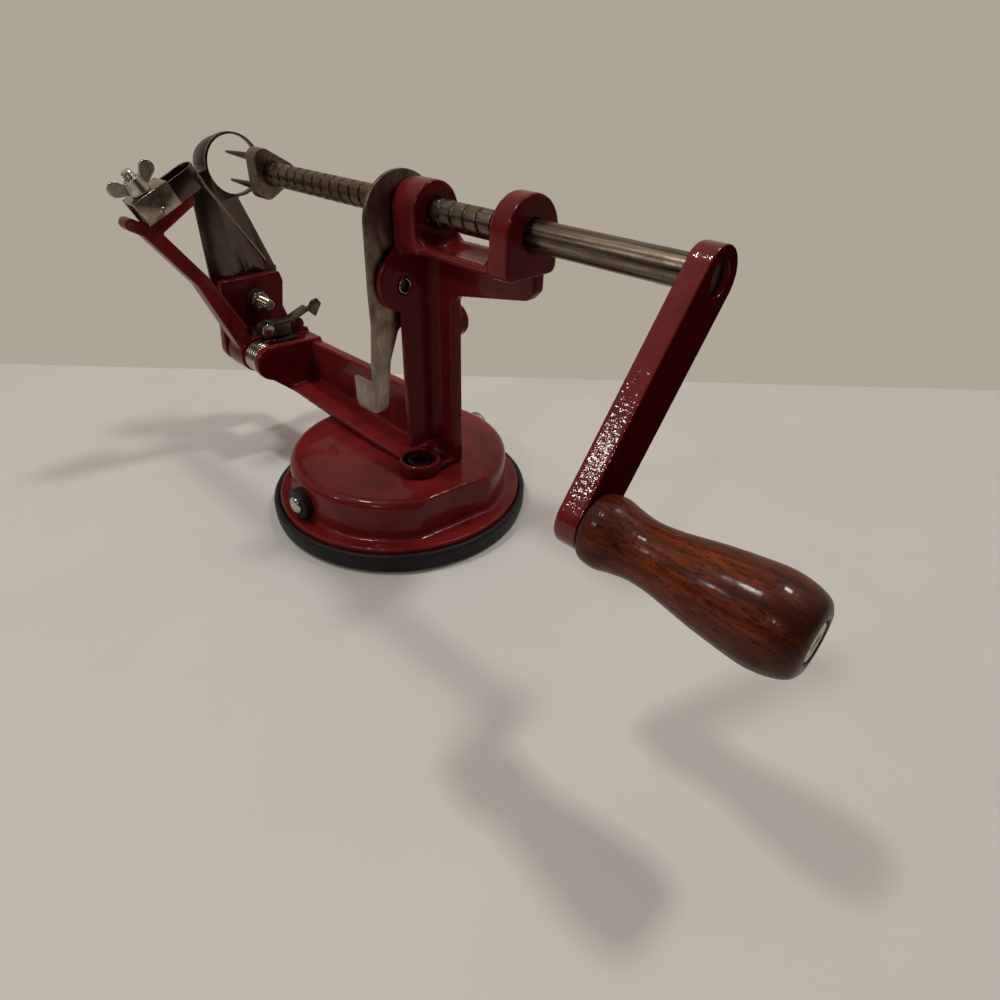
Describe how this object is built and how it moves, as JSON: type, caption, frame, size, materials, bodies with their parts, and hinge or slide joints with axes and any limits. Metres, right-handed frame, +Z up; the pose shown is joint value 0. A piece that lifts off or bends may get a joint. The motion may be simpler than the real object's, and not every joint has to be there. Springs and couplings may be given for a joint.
{
  "type": "apple peeler",
  "caption": "Hand-cranked apple peeler, corer and slicer: red enamelled cast frame on a suction base, screw shaft with fork, sprung peel arm, slicing blade and turned wooden handle.",
  "frame": {"origin": "middle of the rubber foot's flat underside, on the table", "axes": "+X along the screw shaft towards the crank, +Z up, -Y towards the near side of the picture"},
  "size_m": [0.3242, 0.1228, 0.1471],
  "materials": {
    "enamel_red": "gloss enamel",
    "rubber_black": "satin",
    "plated_steel": "worn plating",
    "bright_nickel": "bright plating",
    "fork_steel": "tarnished",
    "blade_steel": "polished, aged",
    "varnished_wood": "gloss varnish"
  },
  "bodies": {
    "frame": {"base_casting": "enamel_red", "suction_cup": "rubber_black", "frame_casting": "enamel_red", "foot_screw": "plated_steel", "bed_screw": "plated_steel", "roll_pin": "bright_nickel", "release_spring": "plated_steel", "pivot_pin": "plated_steel", "peel_spring": "bright_nickel", "slicer_blade": "blade_steel", "corer_ring": "blade_steel", "blade_bolt": "bright_nickel", "blade_washer": "bright_nickel", "blade_nut": "bright_nickel", "latch_pin": "bright_nickel"},
    "feed_carriage": {"fork_stud": "plated_steel"},
    "spindle": {"screw_shaft": "plated_steel", "fork_head": "fork_steel", "fork_prongs": "fork_steel", "crank_arm": "enamel_red", "handle_bolt": "bright_nickel", "handle_washer": "plated_steel"},
    "grip": {"wood_grip": "varnished_wood"},
    "release": {"release_lever": "plated_steel"},
    "peeler": {"peel_arm": "enamel_red", "peel_blade": "blade_steel", "blade_clamp": "bright_nickel", "clamp_bolt": "bright_nickel"},
    "wing": {"wing_nut": "bright_nickel"},
    "latch": {"latch_lever": "plated_steel"},
    "lever": {"suction_lever": "plated_steel", "cam_axle": "plated_steel", "axle_collar": "rubber_black", "axle_cap": "bright_nickel"},
    "stud": {"pull_stud": "plated_steel"}
  },
  "joints": [
    {"name": "feed", "type": "slide", "parent": "frame", "child": "feed_carriage", "axis": [1, 0, 0], "range_m": [-0.055, 0.072]},
    {"name": "crank_turn", "type": "hinge", "parent": "feed_carriage", "child": "spindle", "pos_m": [0, 0, 0.1334], "axis": [1, 0, 0], "range_deg": [-3110, 4070]},
    {"name": "grip_spin", "type": "hinge", "parent": "spindle", "child": "grip", "pos_m": [0.17, -0.04322, 0.07808], "axis": [1, 0, 0], "continuous": true},
    {"name": "release_press", "type": "hinge", "parent": "frame", "child": "release", "pos_m": [0.01715, -0.0087, 0.1079], "axis": [1, 0, 0], "range_deg": [0, 5], "stiffness_Nm_per_rad": 0.2, "springref_deg": -20.05, "deforming": ["release_spring"]},
    {"name": "peel_swing", "type": "hinge", "parent": "frame", "child": "peeler", "pos_m": [-0.096, -0.017, 0.0502], "axis": [1, 0, 0], "range_deg": [0, 45], "stiffness_Nm_per_rad": 0.2, "springref_deg": -40.11, "deforming": ["peel_spring"]},
    {"name": "wing_turn", "type": "hinge", "parent": "peeler", "child": "wing", "pos_m": [-0.096, -0.04517, 0.11687], "axis": [0, -0.4478, 0.8942], "continuous": true},
    {"name": "latch_turn", "type": "hinge", "parent": "frame", "child": "latch", "pos_m": [-0.085, -0.0126, 0.0635], "axis": [1, 0, 0], "range_deg": [0, 12]},
    {"name": "lever_turn", "type": "hinge", "parent": "frame", "child": "lever", "pos_m": [-0.004, 0, 0.0178], "axis": [0, 1, 0], "range_deg": [0, 90]},
    {"name": "stud_lift", "type": "slide", "parent": "frame", "child": "stud", "axis": [0, 0, 1], "range_m": [0, 0.0027], "deforming": ["suction_cup"]}
  ],
  "couplings": [
    {"joint": "feed", "follows": "crank_turn", "m_per_rad": 0.0010106},
    {"joint": "stud_lift", "follows": "lever_turn", "m_per_rad": 0.0017106}
  ]
}
